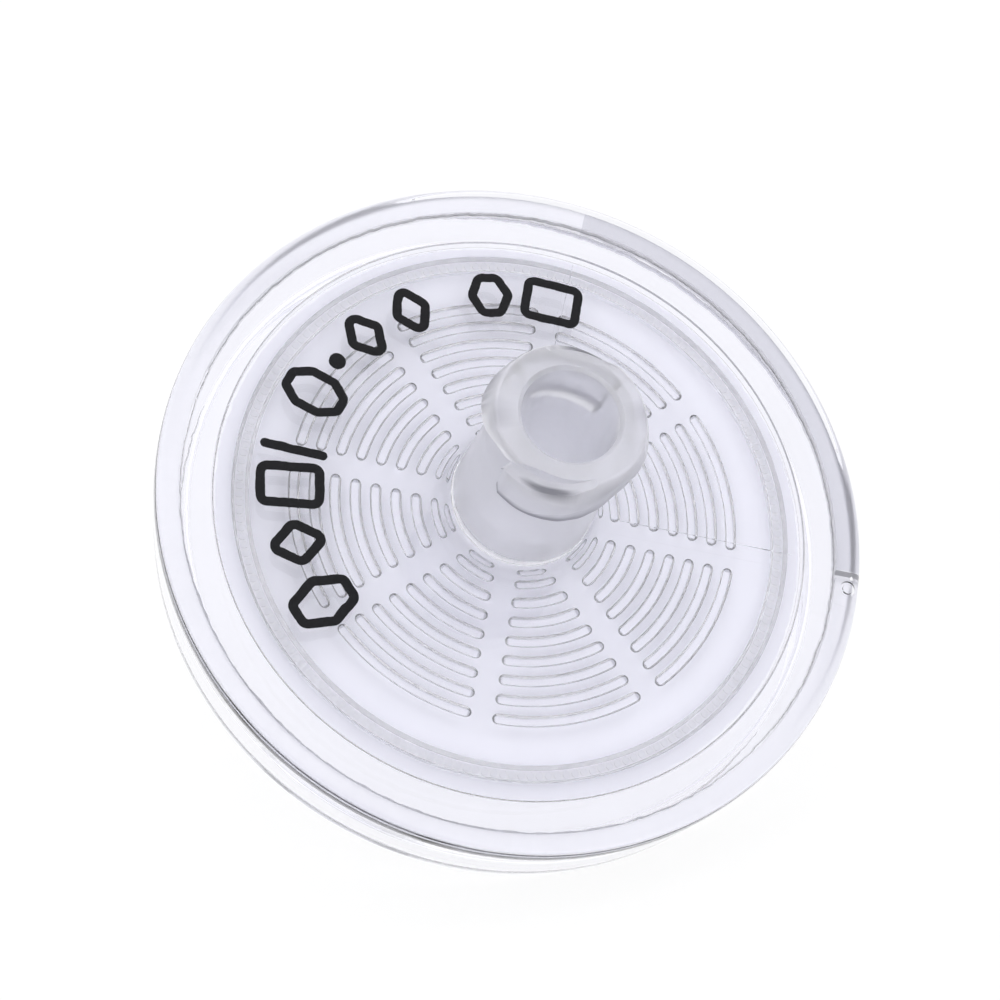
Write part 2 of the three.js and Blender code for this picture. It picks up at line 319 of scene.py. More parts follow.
def apply_modifiers(piece: bpy.types.Object) -> None:
    """Replaces an object's mesh by its evaluated mesh and drops its modifiers."""
    graph = bpy.context.evaluated_depsgraph_get()
    mesh = bpy.data.meshes.new_from_object(
        piece.evaluated_get(graph), preserve_all_data_layers=True, depsgraph=graph
    )
    piece.modifiers.clear()
    piece.data = mesh


def combine(base: bpy.types.Object, operation: str, others: Iterable[bpy.types.Object]) -> bpy.types.Object:
    """Joins closed solids to a base, or cuts them out of it, and removes them.

    Args:
        base: The solid that is changed.
        operation: UNION or DIFFERENCE.
        others: The solids that are used up.

    Returns:
        The base.
    """
    for other in others:
        modifier = base.modifiers.new("combine", "BOOLEAN")
        modifier.operation = operation
        modifier.solver = "MANIFOLD"
        modifier.object = other
        apply_modifiers(base)
        bpy.data.objects.remove(other)
    return base


def dress(piece: bpy.types.Object, materials: Sequence[bpy.types.Material], rule: Callable[..., Region]) -> None:
    """Gives a piece its materials, face by face.

    Args:
        piece: The object whose mesh is in the filter's own millimetres.
        materials: One material for each region.
        rule: Tells the region of a face from its middle and its normal.
    """
    piece.data.materials.clear()
    for material in materials:
        piece.data.materials.append(material)
    for face in piece.data.polygons:
        face.material_index = rule(face.center, face.normal).value


def place(piece: bpy.types.Object, name: str, own_frame: FilterFrame, sharp_angle: float = 40.0) -> None:
    """Names a finished mesh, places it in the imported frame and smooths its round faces.

    Args:
        piece: The object whose mesh is in the filter's own millimetres.
        name: The piece's final name.
        own_frame: The filter's own frame.
        sharp_angle: The angle in degrees from which an edge stays sharp.
    """
    piece.name = piece.data.name = name
    piece.data.transform(own_frame.matrix)
    piece.data.shade_smooth()
    piece.data.set_sharp_from_angle(angle=math.radians(sharp_angle))
    modifier = piece.modifiers.new("flat faces first", "WEIGHTED_NORMAL")
    modifier.keep_sharp = True
    modifier.weight = 100
    apply_modifiers(piece)
    piece.data.name = name


# ---------------------------------------------------------------- node trees
def add_node(tree: bpy.types.NodeTree, kind: str, *inputs: Any, **settings: Any) -> bpy.types.Node:
    """Adds a node with its settings, values and incoming links.

    Args:
        tree: The tree that gets the node.
        kind: The node's type name.
        inputs: What the inputs get, in order, or one dictionary of it by name: a value, an output socket,
            or a node whose first output feeds the input.
        settings: Attributes of the node.

    Returns:
        The new node.
    """
    node = tree.nodes.new(kind)
    for name, value in settings.items():
        setattr(node, name, value)
    by_name = inputs[0] if inputs and isinstance(inputs[0], dict) else dict(enumerate(inputs))
    for key, value in by_name.items():
        source = value.outputs[0] if isinstance(value, bpy.types.Node) else value
        if isinstance(source, bpy.types.NodeSocket):
            tree.links.new(source, node.inputs[key])
        else:
            node.inputs[key].default_value = source
    return node


@dataclass
class ShapeTree:
    """A Geometry Nodes tree with named inputs, run once on an object of its own."""

    name: str
    tree: bpy.types.NodeTree = field(init=False)
    source: bpy.types.Node = field(init=False)

    def __post_init__(self) -> None:
        """Starts the tree with its geometry sockets."""
        self.tree = bpy.data.node_groups.new(self.name, "GeometryNodeTree")
        for way in ("INPUT", "OUTPUT"):
            self.tree.interface.new_socket("Geometry", in_out=way, socket_type="NodeSocketGeometry")
        self.source = self.tree.nodes.new("NodeGroupInput")

    def inputs(self, *names: str, kind: str = "Float") -> list[bpy.types.NodeSocket]:
        """Adds named inputs of one kind to the tree and returns the sockets that carry them."""
        for name in names:
            self.tree.interface.new_socket(name, in_out="INPUT", socket_type=f"NodeSocket{kind}")
        return [self.source.outputs[name] for name in names]

    def end(self, geometry: bpy.types.Node) -> None:
        """Ends the tree with real meshes in the tree's material."""
        (material,) = self.inputs("Material", kind="Material")
        real = add_node(self.tree, "GeometryNodeRealizeInstances", {"Geometry": geometry})
        dressed = add_node(self.tree, "GeometryNodeSetMaterial", {"Geometry": real, "Material": material})
        add_node(self.tree, "NodeGroupOutput", {"Geometry": dressed})

    def run(self, name: str, values: dict[str, Any], start: bpy.types.Mesh | None = None) -> bpy.types.Object:
        """Runs the tree once and keeps its result as a plain mesh.

        Args:
            name: The name of the object made.
            values: A value for each named input.
            start: The mesh that the tree begins with, if it needs one.

        Returns:
            The object, with no modifier left on it.
        """
        piece = new_object(name, start or bpy.data.meshes.new(name))
        modifier = piece.modifiers.new(self.name, "NODES")
        modifier.node_group = self.tree
        for socket in self.tree.interface.items_tree:
            if socket.in_out == "INPUT" and socket.name in values:
                modifier[socket.identifier] = values[socket.name]
        apply_modifiers(piece)
        return piece


def rib_tree() -> ShapeTree:
    """Builds the tree of a rib field: rings of arcs with round ends, broken by radial channels.

    Each rib is one spline. Its first and last points follow a quarter circle, on which the section
    shrinks to nothing, so that its ends are round.

    Returns:
        The tree.
    """
    shape = ShapeTree("rib field")
    node = partial(add_node, shape.tree)
    outer, pitch, first, channel, level = shape.inputs(
        "Outer Radius", "Pitch", "First Channel", "Channel Width", "Level"
    )
    width, tip_width, height, rooted, rounding = shape.inputs(
        "Width", "Tip Width", "Height", "Rooted Depth", "Rounding"
    )
    rings, sectors, points, end_points = shape.inputs("Rings", "Sectors", "Points", "End Points", kind="Int")

    ribs = node(MATHS, rings, sectors, operation="MULTIPLY")
    cloud = node("GeometryNodePoints", {"Count": node(MATHS, ribs, points, operation="MULTIPLY")})
    index = node("GeometryNodeInputIndex")
    rib = node(MATHS, node(MATHS, index, points, operation="DIVIDE"), operation="FLOOR")
    ring = node(MATHS, node(MATHS, rib, sectors, operation="DIVIDE"), operation="FLOOR")
    sector = node(MATHS, rib, sectors, operation="MODULO")
    step = node(MATHS, index, points, operation="MODULO")
    radius = node(MATHS, outer, node(MATHS, ring, pitch, operation="MULTIPLY"), operation="SUBTRACT")

    # How far a point lies in from the nearer end of its rib: along the quarter circle, and then past it.
    last = node(MATHS, points, 1, operation="SUBTRACT")
    from_end = node(MATHS, step, node(MATHS, last, step, operation="SUBTRACT"), operation="MINIMUM")
    along_end = node(MATHS, node(MATHS, from_end, end_points, operation="DIVIDE"), 1.0, operation="MINIMUM")
    quarter = node(MATHS, along_end, math.pi / 2, operation="MULTIPLY")
    half_width = node(MATHS, width, 0.5, operation="MULTIPLY")
    hidden = node(MATHS, 1.0, node(MATHS, quarter, operation="COSINE"), operation="SUBTRACT")
    in_end = node(MATHS, half_width, hidden, operation="MULTIPLY")
    past_end = node(MATHS, node(MATHS, from_end, end_points, operation="SUBTRACT"), 0.0, operation="MAXIMUM")
    half_last = node(MATHS, last, 0.5, operation="MULTIPLY")
    inner_steps = node(MATHS, half_last, end_points, operation="SUBTRACT")
    share = node(MATHS, past_end, inner_steps, operation="DIVIDE")

    # The angle of that point, from the sweep between two channels.
    sector_angle = node(MATHS, 2 * math.pi, sectors, operation="DIVIDE")
    half_sector = node(MATHS, sector_angle, 0.5, operation="MULTIPLY")
    margin = node(MATHS, node(MATHS, channel, 0.5, operation="MULTIPLY"), radius, operation="DIVIDE")
    half_sweep = node(MATHS, half_sector, margin, operation="SUBTRACT")
    end_sweep = node(MATHS, half_width, radius, operation="DIVIDE")
    straight = node(MATHS, half_sweep, end_sweep, operation="SUBTRACT")
    inwards = node(MATHS, share, straight, node(MATHS, in_end, radius, operation="DIVIDE"), operation="MULTIPLY_ADD")
    side = node(MATHS, node(MATHS, step, half_last, operation="SUBTRACT"), operation="SIGN")
    off_middle = node(MATHS, side, node(MATHS, half_sweep, inwards, operation="SUBTRACT"), operation="MULTIPLY")
    middle = node(MATHS, node(MATHS, sector, 0.5, operation="ADD"), sector_angle, first, operation="MULTIPLY_ADD")
    angle = node(MATHS, middle, off_middle, operation="ADD")
    spot = node(
        COMBINE,
        node(MATHS, radius, node(MATHS, angle, operation="COSINE"), operation="MULTIPLY"),
        node(MATHS, radius, node(MATHS, angle, operation="SINE"), operation="MULTIPLY"),
        level,
    )

    placed = node("GeometryNodeSetPosition", {"Geometry": cloud, "Position": spot})
    end_size = node(MATHS, node(MATHS, quarter, operation="SINE"), 0.06, operation="MAXIMUM")
    stored = node(
        "GeometryNodeStoreNamedAttribute",
        {"Geometry": placed, "Name": "end size", "Value": end_size},
        data_type="FLOAT",
        domain="POINT",
    )
    curves = node("GeometryNodePointsToCurves", {"Points": stored, "Curve Group ID": rib})
    upright = node("GeometryNodeSetCurveNormal", {"Curve": curves}, mode="Z_UP")
    section = node(
        "GeometryNodeCurvePrimitiveQuadrilateral",
        {
            "Bottom Width": width,
            "Top Width": tip_width,
            "Offset": 0.0,
            "Height": node(MATHS, height, rooted, operation="ADD"),
        },
        mode="TRAPEZOID",
    )
    soft = node(
        "GeometryNodeFilletCurve",
        {"Curve": section, "Count": 4, "Radius": rounding, "Limit Radius": True},
        mode="POLY",
    )
    # The section's Y points down.
    drop = node(MATHS, node(MATHS, height, rooted, operation="SUBTRACT"), 0.5, operation="MULTIPLY")
    lowered = node("GeometryNodeTransform", {"Geometry": soft, "Translation": node(COMBINE, {"Y": drop})})
    scale = node("GeometryNodeInputNamedAttribute", {"Name": "end size"}, data_type="FLOAT")
    swept = node(
        "GeometryNodeCurveToMesh",
        {"Curve": upright, "Profile Curve": lowered, "Scale": scale, "Fill Caps": True},
    )
    shape.end(swept)
    return shape


def bead_tree() -> ShapeTree:
    """Builds the tree of a ring of small rounded beads.

    Returns:
        The tree.
    """
    shape = ShapeTree("bead ring")
    node = partial(add_node, shape.tree)
    radius, level = shape.inputs("Radius", "Level")
    (count,) = shape.inputs("Count", kind="Int")
    (size,) = shape.inputs("Size", kind="Vector")
    circle = node("GeometryNodeMeshCircle", {"Vertices": count, "Radius": radius})
    full_turns = node(MATHS, node("GeometryNodeInputIndex"), 2 * math.pi, operation="MULTIPLY")
    turn = node(MATHS, full_turns, count, operation="DIVIDE")
    bead = node("GeometryNodeMeshUVSphere", {"Segments": 12, "Rings": 7, "Radius": 0.5})
    copies = node(
        "GeometryNodeInstanceOnPoints",
        {"Points": circle, "Instance": bead, "Rotation": node(COMBINE, {"Z": turn}), "Scale": size},
    )
    shape.end(node("GeometryNodeTransform", {"Geometry": copies, "Translation": node(COMBINE, {"Z": level})}))
    return shape


def stroke_tree() -> ShapeTree:
    """Builds the tree of a printed stroke: a path with soft corners, laid down as a raised film of ink.

    The stroke's edge wavers a little and an open path ends round, as ink that has crept before it dried.

    Returns:
        The tree.
    """
    shape = ShapeTree("printed stroke")
    node = partial(add_node, shape.tree)
    stroke, film, rounding, spacing, waver, seed, level = shape.inputs(
        "Stroke", "Film", "Rounding", "Spacing", "Waver", "Seed", "Level"
    )
    path = node("GeometryNodeMeshToCurve", {"Mesh": shape.source})
    soft = node(
        "GeometryNodeFilletCurve",
        {"Curve": path, "Count": 6, "Radius": rounding, "Limit Radius": True},
        mode="POLY",
    )
    even = node("GeometryNodeResampleCurve", {"Curve": soft, "Length": spacing}, mode="LENGTH")
    swing = node(
        "ShaderNodeTexNoise",
        {"Vector": node("GeometryNodeInputPosition"), "W": seed, "Scale": 1.6, "Detail": 3.0, "Roughness": 0.65},
        noise_dimensions="4D",
    )
    from_middle = node(VECTOR_MATHS, swing.outputs["Color"], (0.5, 0.5, 0.5), operation="SUBTRACT")
    drift = node(VECTOR_MATHS, {0: from_middle, "Scale": waver}, operation="SCALE")
    flat = node(VECTOR_MATHS, drift, (1.0, 1.0, 0.0), operation="MULTIPLY")
    offset = node(VECTOR_MATHS, flat, node(COMBINE, {"Z": level}), operation="ADD")
    crept = node("GeometryNodeSetPosition", {"Geometry": even, "Offset": offset})
    upright = node("GeometryNodeSetCurveNormal", {"Curve": crept}, mode="Z_UP")

    # An open path narrows at its ends along a half circle; a closed one keeps its width.
    along = node("GeometryNodeSplineParameter").outputs["Length"]
    length = node("GeometryNodeSplineLength").outputs["Length"]
    from_end = node(MATHS, along, node(MATHS, length, along, operation="SUBTRACT"), operation="MINIMUM")
    half_stroke = node(MATHS, stroke, 0.5, operation="MULTIPLY")
    inwards = node(MATHS, node(MATHS, from_end, half_stroke, operation="DIVIDE"), 1.0, operation="MINIMUM")
    near_end = node(MATHS, 1.0, inwards, operation="SUBTRACT")
    squared = node(MATHS, near_end, near_end, operation="MULTIPLY")
    round_end = node(MATHS, node(MATHS, 1.0, squared, operation="SUBTRACT"), operation="SQRT")
    closed = node("GeometryNodeInputSplineCyclic")
    width = node(MATHS, node(MATHS, round_end, closed, operation="MAXIMUM"), 0.05, operation="MAXIMUM")
    off_middle = node(MATHS, swing, 0.5, operation="SUBTRACT")
    swell = node(MATHS, off_middle, 0.3, 1.0, operation="MULTIPLY_ADD")

    section = node("GeometryNodeCurvePrimitiveQuadrilateral", {"Width": stroke, "Height": film}, mode="RECTANGLE")
    round_edge = node(MATHS, film, 0.45, operation="MULTIPLY")
    eased = node(
        "GeometryNodeFilletCurve",
        {"Curve": section, "Count": 3, "Radius": round_edge, "Limit Radius": True},
        mode="POLY",
    )
    scale = node(MATHS, width, swell, operation="MULTIPLY")
    shape.end(
        node("GeometryNodeCurveToMesh", {"Curve": upright, "Profile Curve": eased, "Scale": scale, "Fill Caps": True})
    )
    return shape


# ---------------------------------------------------------------- finishes
def linear(colour: str) -> tuple[float, float, float, float]:
    """Turns an sRGB hex colour to linear RGBA."""
    values = [int(colour[i : i + 2], 16) / 255 for i in (1, 3, 5)]
    return (*(v / 12.92 if v <= 0.04045 else ((v + 0.055) / 1.055) ** 2.4 for v in values), 1.0)


def new_material(name: str) -> tuple[bpy.types.Material, Callable[..., bpy.types.Node]]:
    """Starts a node material with nothing in it, and gives the function that adds its nodes."""
    material = bpy.data.materials.new(name)
    material.use_nodes = True
    material.node_tree.nodes.clear()
    return material, partial(add_node, material.node_tree)


@dataclass(frozen=True)
class Finish:
    """A finish whose colour and relief follow one fine noise.

    Attributes:
        name: The material's name.
        colour: Its colour where the noise is low.
        grain_mm: The size of the noise's swings.
        relief_mm: The height of the relief.
        strength: How strongly the relief shows.
        cloudiness: Half the share of its light that the colour loses where the noise is high.
        other_colour: The colour there instead, if it isn't just darker.
        shade: The colour of painted shade, mixed in as far as the piece's painted shade attribute says, if it has one.
        noise_inputs: What the noise node gets besides.
        shader_inputs: What the shader gets besides.
    """

    name: str
    colour: str
    grain_mm: float
    relief_mm: float
    strength: float = 1.0
    cloudiness: float = 0.0
    other_colour: str = ""
    shade: str = ""
    noise_inputs: dict[str, float] = field(default_factory=lambda: {"Detail": 3.0})
    shader_inputs: dict[str, float] = field(default_factory=dict)

    def build(self) -> bpy.types.Material:
        """Builds the material."""
        material, node = new_material(self.name)
        place_at = node("ShaderNodeTexCoord").outputs["Object"]
        grain = node("ShaderNodeTexNoise", {"Vector": place_at, "Scale": 1 / (self.grain_mm * MM), **self.noise_inputs})
        low = linear(self.colour)
        high = (*(value * (1 - self.cloudiness * 2) for value in low[:3]), 1.0)
        if self.other_colour:
            high = linear(self.other_colour)
        colour = low
        if high != low:
            colour = node("ShaderNodeMix", {0: grain, 6: low, 7: high}, data_type="RGBA").outputs[2]
        # Painted shade: the colour darkens towards the shade colour by the piece's painted shade attribute.
        if self.shade:
            depth = node("ShaderNodeAttribute", attribute_name=PAINTED_SHADE_ATTRIBUTE).outputs["Fac"]
            colour = node("ShaderNodeMix", {0: depth, 6: colour, 7: linear(self.shade)}, data_type="RGBA").outputs[2]
        bump = node("ShaderNodeBump", {"Height": grain, "Strength": self.strength, "Distance": self.relief_mm * MM})
        shader = node("ShaderNodeBsdfPrincipled", {"Base Color": colour, "Normal": bump, **self.shader_inputs})
        node("ShaderNodeOutputMaterial", {"Surface": shader})
        return material


def clear_mbs(roughness: float, clearness: float, gloss: float = 0.0) -> dict[str, float]:
    """Gives the shader inputs of clear MBS, which bends light a little more than glass."""
    return {"IOR": 1.56, "Roughness": roughness, "Transmission Weight": clearness, "Coat Weight": gloss}


# Clear MBS, a styrene blend, injection moulded, one finish for each Region and in its order. All have the
# faint lavender tone that the plastic's maker adds against yellowing.
CLEAR_FINISHES = (
    # From polished mould faces: clear as glass, with the faintest flow waves.
    Finish("polished_clear_mbs", "#FAFAFE", 2.5, 0.004, cloudiness=0.02, shader_inputs=clear_mbs(0.0, 1.0)),
    # From spark-eroded mould faces: finely frosted, so that the ribs' walls draw thin grey lines.
    # Finely frosted, as from spark-eroded mould faces, and tinted grey: the grey is painted shade, which draws thin
    # dark lines along the ribs' walls and in the unwelded part of the weld.
    Finish("frosted_clear_mbs_painted_shade", "#CACAD4", 0.12, 0.006, cloudiness=0.06, shader_inputs=clear_mbs(0.35, 0.8)),
    # The hub's thick wall: slightly milky under a soft gloss, with grey painted shade along the thread's lower edge, on
    # its crest and in a lens on its upper flank.
    Finish("milky_clear_mbs_painted_thread_shade", "#FAFAFF", 0.8, 0.004, 1.0, 0.04, "", "#66666E", shader_inputs=clear_mbs(0.32, 0.8, 0.3)),
    # Melted and pressed in the weld: matt and uneven.
    Finish("welded_clear_mbs", "#F8F8FD", 0.3, 0.01, cloudiness=0.04, shader_inputs=clear_mbs(0.4, 0.7)),
)
# Cast porous filter membrane: a matt white sheet like fine paper, which scatters all light.
MEMBRANE_FILM = Finish(
    "cast_filter_membrane", "#F3F3F8", 0.12, 0.02, 0.15, shader_inputs={"Roughness": 0.9, "Specular IOR Level": 0.2}
)
# Black pad-printing ink: a thin film, wrinkled as it dried, that gives many tiny grey glints.
PRINTING_INK = Finish(
    "pad_printing_ink",
    "#0B0B0D",
    0.16,
    0.02,
    0.6,
    other_colour="#242428",
    noise_inputs={"Detail": 4.0, "Roughness": 0.6, "Distortion": 0.8},
    shader_inputs={"Roughness": 0.5, "Specular IOR Level": 0.12},
)


# ---------------------------------------------------------------- the upper half
@dataclass(frozen=True)
class ThreadStation:
    """The thread's section at one angle along a start.

    Attributes:
        sweep: Degrees from where the start begins.
        foot: Height of the section's lower edge.
        crest_foot: Height at which the crest begins over the ledge.
        crest_top: Height at which the crest ends.
        ledge: Radius of the ledge under the crest.
        crest: Radius of the crest.
    """

    sweep: float
    foot: float
    crest_foot: float
    crest_top: float
    ledge: float
    crest: float

    def blend(self, other: "ThreadStation", share: float) -> "ThreadStation":
        """Gives the section a share of the way to another station."""
        own, far = vars(self), vars(other)
        return ThreadStation(**{key: own[key] + (far[key] - own[key]) * share for key in own})


THREAD_STATIONS = (
    ThreadStation(0.0, 6.75, 6.9, 8.0, 3.15, 3.2),
    ThreadStation(2.0, 6.55, 6.75, 8.15, 3.55, 3.62),
    ThreadStation(6.0, 6.3, 6.45, 8.2, 3.68, 3.74),
    ThreadStation(26.0, 6.15, 6.45, 8.25, 3.66, 3.76),
    ThreadStation(50.0, 6.15, 7.0, 8.5, 3.64, 3.76),
    ThreadStation(64.0, 6.3, 7.3, 8.8, 3.62, 3.7),
    ThreadStation(78.0, 6.45, 7.6, 9.2, 3.55, 3.56),
    ThreadStation(94.0, 6.9, 7.8, 9.6, 3.5, 3.52),
    ThreadStation(110.0, 7.2, 7.9, 9.8, 3.6, 3.68),
    ThreadStation(125.0, 7.75, 8.0, 10.0, 3.68, 3.74),
    ThreadStation(140.0, 8.2, 8.35, 10.0, 3.7, 3.75),
    ThreadStation(172.0, 8.75, 8.85, 10.0, 3.6, 3.62),
    ThreadStation(204.0, 8.95, 9.05, 10.0, 3.06, 3.08),
)


@dataclass
class InletHousing:
    """The upper half: disc with its flange, plug, pinching ridge and flow ribs, and the Luer-lock hub."""

    sizes: FilterSizes
    own_frame: FilterFrame
    edge_round: float = 0.53
    rib_margin: float = 2.02
    rib_pitch: float = 0.932
    rib_rings: int = 9
    rib_width: float = 0.6
    rib_tip_width: float = 0.36
    rib_height: float = 0.22
    rib_round: float = 0.07
    bead_count: int = 194
    gate_angle: float = 330.75
    gate_radius: float = 15.85
    knits: tuple[tuple[float, float, float], ...] = ((334.95, 4.5, 13.0), (59.45, 4.5, 13.0))
    knit_width: float = 0.05
    milky_from: float = 0.75
    hub_foot: float = 3.3
    hub_top: float = 3.32
    barrel: float = 3.04
    crest_radius: float = 3.78
    end_round: float = 0.22
    hub_fillet: float = 0.8
    mouth: float = 2.15
    mouth_chamfer: float = 0.18
    thread_start: float = 200.75
    thread_foot: float = 6.15
    thread_flank: float = 0.3
    cone_height: float = 1.3
    trim_round: float = 1.0
    mould_round: float = 0.05
    ridge_half: float = 0.25
    weld_rag: float = 0.05
    plate_lift: float = 0.004  # keeps the hub's foot clear of the plate's face
    overlap: float = 0.1  # how far joined solids reach into each other
    thread_arc_steps: int = 4
    flank_rows: tuple[float, ...] = (0.6, 0.5, 0.4, 0.3, 0.2)  # rows of points on the thread's upper flank
    # The painted shade on the thread, which stands in for dark lines from bent light: how far from the edge it is full
    # and over how much it fades; over how many degrees it runs out; how strong it is on the crest, and its rise and
    # fall along it; the middle and half size of the lens on the upper flank, along the thread and out from the barrel.
    edge_full: float = 0.2
    edge_fade: float = 0.25
    edge_end: tuple[float, float] = (130.0, 60.0)
    crest_shade: float = 0.45
    crest_rise: tuple[float, float] = (50.0, 30.0)
    crest_fall: tuple[float, float] = (140.0, 25.0)
    lens_sweep: tuple[float, float] = (36.0, 24.0)
    lens_out: tuple[float, float] = (0.4, 0.22)
    lens_depth: float = 1.3

    def disc(self) -> bpy.types.Object:
        """Turns the plate with its flange, plug and pinching ridge."""
        s = self.sizes
        ridge_middle = (s.pinch_inner + s.pinch_outer) / 2
        ridge_tip = s.membrane_top + s.weld_gap
        outline = [
            Corner(0, s.plate_bottom),
            Corner(s.pinch_inner, s.plate_bottom, self.mould_round),
            Corner(ridge_middle - self.ridge_half, ridge_tip, 0.1),
            Corner(ridge_middle + self.ridge_half, ridge_tip, 0.1),
            Corner(s.pinch_outer, s.plate_bottom, self.mould_round),
            Corner(s.plug_inner, s.plate_bottom, self.mould_round),
            Corner(s.plug_inner, s.plug_bottom, self.mould_round),
            Corner(s.plug_radius, s.plug_bottom, 0.08, ragged=self.weld_rag),
            Corner(s.plug_radius, -s.flange_thickness, ragged=self.weld_rag),
            Corner(s.rim_radius, -s.flange_thickness, 0.06),
            Corner(s.rim_radius, 0, self.edge_round),
            Corner(0, 0),
        ]
        return lathe("inlet disc", outline, DISC_SIDES)

    def hub(self) -> bpy.types.Object:
        """Turns the barrel of the hub with the fillet at its foot."""
        edge, top = self.hub_foot + self.hub_fillet + 0.2, self.sizes.hub_height + self.overlap
        outline = [
            Corner(0, -self.overlap),
            Corner(edge, -self.overlap),
            Corner(edge, self.plate_lift),
            Corner(self.hub_foot, self.plate_lift, self.hub_fillet),
            Corner(self.barrel, self.thread_foot, 0.3),
            Corner(self.barrel, top),
            Corner(0, top),
        ]
        return lathe("inlet hub", outline, HUB_SIDES)

    def bore(self) -> bpy.types.Object:
        """Turns the tapered bore with its chamfered mouth, to be cut out."""
        s = self.sizes
        foot = s.plate_bottom - self.rib_height
        top = s.hub_height + self.overlap
        outline = [
            Corner(0, foot),
            Corner(self.mouth - s.luer_taper * (s.hub_height - foot), foot),
            Corner(self.mouth, s.hub_height - self.mouth_chamfer, 0.1),
            Corner(self.mouth + self.mouth_chamfer + self.overlap, top),
            Corner(0, top),
        ]
        return lathe("inlet bore", outline, HUB_SIDES)

    def station_at(self, sweep: float) -> ThreadStation:
        """Gives the thread's section some degrees from where its start begins."""
        after = next(i for i, station in enumerate(THREAD_STATIONS) if i and station.sweep >= sweep)
        before = THREAD_STATIONS[after - 1]
        share = (sweep - before.sweep) / (THREAD_STATIONS[after].sweep - before.sweep)
        return before.blend(THREAD_STATIONS[after], share * share * (3 - 2 * share))

    def thread_start_solid(self, start: float) -> bpy.types.Object:
        """Sweeps one start of the thread through its stations.

        Args:
            start: The angle in degrees at which the start begins.

        Returns:
            The closed solid of the start.
        """
        root = self.barrel - self.overlap
        last = THREAD_STATIONS[-1].sweep
        steps = round(last / 360 * THREAD_SIDES)
        vertices: list[tuple[float, float, float]] = []
        count = 0
        for step in range(steps + 1):
            sweep = last * step / steps
            at = self.station_at(sweep)
            step_up = at.crest_foot - at.foot
            section = rounded(
                [
                    Corner(root, at.foot - self.thread_flank),
                    Corner(at.ledge, at.foot, 0.06),
                    Corner(at.ledge, at.foot + min(0.2, step_up / 2)),
                    Corner((at.ledge + at.crest) / 2, at.foot + max(step_up - 0.08, step_up * 0.8)),
                    Corner(at.crest, at.crest_foot + 0.08, 0.05),
                    Corner(at.crest, at.crest_foot + 0.35),
                    Corner(at.crest, at.crest_top, 0.12),
                    *(Corner(self.barrel + r, at.crest_top + self.thread_flank * (0.75 - r)) for r in self.flank_rows),
                    Corner(root, at.crest_top + self.thread_flank),
                ],
                arc_steps=self.thread_arc_steps,
            )
            count = len(section)
            turn = math.radians(start + sweep)
            vertices += [(p.r * math.cos(turn), p.r * math.sin(turn), p.z) for p in section]
        faces: list[tuple[int, ...]] = [tuple(range(count)), tuple(range(steps * count, (steps + 1) * count))]
        for step in range(steps):
            for i in range(count):
                a, b = step * count + i, step * count + (i + 1) % count
                faces.append((a, b, b + count, a + count))
        return solid_from("thread start", vertices, faces)

    def end_trim(self) -> bpy.types.Object:
        """Turns the space round the hub's end that trims the thread to a rounded cone."""
        end, reach = self.sizes.hub_height, 2 * self.crest_radius
        cone_foot = end - self.cone_height
        outline = [
            Corner(0, end + 2),
            Corner(0, end),
            Corner(self.hub_top, end, self.end_round),
            Corner(self.crest_radius, cone_foot, self.trim_round),
            Corner(self.crest_radius, cone_foot - 2),
            Corner(reach, cone_foot - 2),
            Corner(reach, end + 2),
        ]
        return lathe("hub end trim", outline, HUB_SIDES)

    def thread(self) -> bpy.types.Object:
        """Makes both starts of the right-hand thread, which run out at the hub's end."""
        first, second = (self.thread_start_solid(self.thread_start + turn) for turn in (0, 180))
        return combine(first, "UNION", [second])

    def ribs(self, tree: ShapeTree) -> bpy.types.Object:
        """Runs the rib tree for the flow ribs under the plate."""
        s = self.sizes
        return tree.run(
            "flow ribs",
            {
                "Outer Radius": s.pinch_inner - self.rib_margin,
                "Pitch": self.rib_pitch,
                "Rings": self.rib_rings,
                "Sectors": s.sectors,
                "First Channel": math.radians(s.first_channel),
                "Channel Width": s.channel_width,
                "Width": self.rib_width,
                "Tip Width": self.rib_tip_width,
                "Height": self.rib_height,
                "Rooted Depth": self.overlap,
                "Rounding": self.rib_round,
                "Level": s.plate_bottom,
                "Points": 28,
                "End Points": 6,
            },
        )

    def bead_ring(self, tree: ShapeTree) -> bpy.types.Object:
        """Runs the bead tree for the beads on the pinching ridge, which bite into the membrane."""
        s = self.sizes
        return tree.run(
            "ridge beads",
            {
                "Count": self.bead_count,
                "Radius": (s.pinch_inner + s.pinch_outer) / 2,
                "Size": (0.42, 0.34, 0.1),
                "Level": s.membrane_top + s.weld_gap,
            },
        )

    def gate_mark(self) -> bpy.types.Object:
        """Turns the small ring that the mould's gate left on the flange, to be cut out."""
        ring = lathe(
            "gate mark",
            [Corner(0.25, -0.08), Corner(0.36, -0.08), Corner(0.4, 0.1), Corner(0.21, 0.1)],
            48,
        )
        turn = math.radians(self.gate_angle)
        place_at = Vector((math.cos(turn), math.sin(turn), 0)) * self.gate_radius
        ring.data.transform(Matrix.Translation(place_at))
        return ring

    def knit_lines(self) -> list[bpy.types.Object]:
        """Makes the hair-thin V grooves where two streams of plastic met, to be cut out."""
        lines = []
        for angle, inner, outer in self.knits:
            half, deep = self.knit_width / 2, -self.knit_width / 2
            vertices = [(r, y, z) for r in (inner, outer) for y, z in ((-half, 0.01), (half, 0.01), (0, deep))]
            faces = [(0, 1, 2), (3, 4, 5), (0, 1, 4, 3), (1, 2, 5, 4), (0, 2, 5, 3)]
            line = solid_from("knit line", vertices, faces)
            line.data.transform(Matrix.Rotation(math.radians(angle), 4, "Z"))
            lines.append(line)
        return lines

